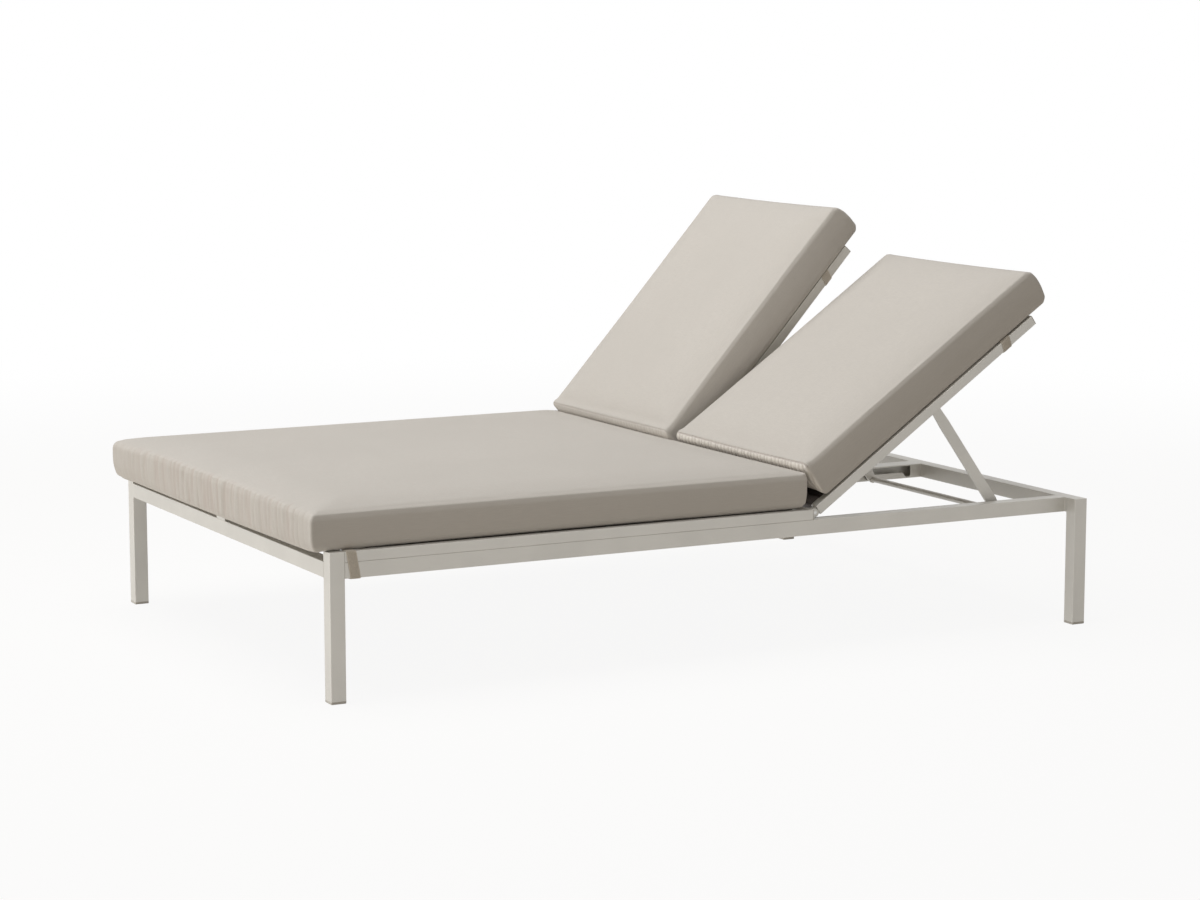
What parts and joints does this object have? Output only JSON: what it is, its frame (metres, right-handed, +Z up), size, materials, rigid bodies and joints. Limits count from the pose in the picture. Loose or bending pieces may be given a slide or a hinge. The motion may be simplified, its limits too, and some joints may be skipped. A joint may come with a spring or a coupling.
{
  "type": "double chaise lounger",
  "caption": "Wide outdoor lounger with one shared seat cushion and separate reclining backs, each held by a folding prop on a low tube frame.",
  "frame": {"origin": "on the floor, below the middle of the bounding box", "axes": "+Z up, +X from the foot end towards the head end, +Y towards the right side for someone lying on it"},
  "size_m": [2.036, 1.41, 0.9975],
  "materials": {
    "coated_frame": "satin",
    "cushion_fabric": "matte",
    "sling_mesh": "matte",
    "spline_cord": "matte",
    "strap_webbing": "matte",
    "plastic_fittings": "matte",
    "steel_hardware": "satin"
  },
  "bodies": {
    "base": {"center_beam": "coated_frame", "center_seat_tube": "coated_frame", "center_tube_end_plates": "coated_frame", "foot_left_leg": "coated_frame", "foot_rail": "coated_frame", "foot_right_leg": "coated_frame", "head_left_leg": "coated_frame", "head_rail": "coated_frame", "head_right_leg": "coated_frame", "left_foot_cross_tube": "coated_frame", "left_hinge_cross_tube": "coated_frame", "left_hinge_ears": "coated_frame", "left_hinge_pins": "steel_hardware", "left_seat_sling": "sling_mesh", "left_seat_tube": "coated_frame", "left_side_rail": "coated_frame", "leg_glides": "plastic_fittings", "leg_top_plates": "coated_frame", "right_foot_cross_tube": "coated_frame", "right_hinge_cross_tube": "coated_frame", "right_hinge_ears": "coated_frame", "right_hinge_pins": "steel_hardware", "right_seat_sling": "sling_mesh", "right_seat_tube": "coated_frame", "right_side_rail": "coated_frame", "seat_cushion": "cushion_fabric", "seat_sling_splines": "spline_cord", "seat_straps": "strap_webbing", "seat_tube_end_caps": "plastic_fittings"},
    "left_back": {"left_back_cushion": "cushion_fabric", "left_back_end_caps": "plastic_fittings", "left_back_hinge_tongues": "coated_frame", "left_back_inner_tube": "coated_frame", "left_back_lower_cross_tube": "coated_frame", "left_back_outer_tube": "coated_frame", "left_back_sling": "sling_mesh", "left_back_sling_splines": "spline_cord", "left_back_straps": "strap_webbing", "left_back_upper_cross_tube": "coated_frame", "left_prop_pivot_bolts": "steel_hardware", "left_prop_pivot_nuts": "steel_hardware", "left_prop_pivot_washers": "steel_hardware"},
    "right_back": {"right_back_cushion": "cushion_fabric", "right_back_end_caps": "plastic_fittings", "right_back_hinge_tongues": "coated_frame", "right_back_inner_tube": "coated_frame", "right_back_lower_cross_tube": "coated_frame", "right_back_outer_tube": "coated_frame", "right_back_sling": "sling_mesh", "right_back_sling_splines": "spline_cord", "right_back_straps": "strap_webbing", "right_back_upper_cross_tube": "coated_frame", "right_prop_pivot_bolts": "steel_hardware", "right_prop_pivot_nuts": "steel_hardware", "right_prop_pivot_washers": "steel_hardware"},
    "left_prop": {"left_prop_arms": "coated_frame", "left_prop_bar": "coated_frame"},
    "right_prop": {"right_prop_arms": "coated_frame", "right_prop_bar": "coated_frame"}
  },
  "joints": [
    {"name": "left_back_recline", "type": "hinge", "parent": "base", "child": "left_back", "pos_m": [0.272, -0.329, 0.3265], "axis": [0, -1, 0], "range_deg": [-12.85, 13.45]},
    {"name": "left_prop_swing", "type": "hinge", "parent": "left_back", "child": "left_prop", "pos_m": [0.61871, -0.329, 0.56005], "axis": [0, -1, 0], "range_deg": [-37.7, 36]},
    {"name": "right_back_recline", "type": "hinge", "parent": "base", "child": "right_back", "pos_m": [0.272, 0.329, 0.3265], "axis": [0, -1, 0], "range_deg": [-47.9, 0]},
    {"name": "right_prop_swing", "type": "hinge", "parent": "right_back", "child": "right_prop", "pos_m": [0.55488, 0.329, 0.63428], "axis": [0, -1, 0], "range_deg": [-42.4, 0]}
  ],
  "couplings": [
    {"joint": "left_prop_swing", "follows": "left_back_recline", "ratio": -2.8},
    {"joint": "right_prop_swing", "follows": "right_back_recline", "ratio": 0.884}
  ]
}
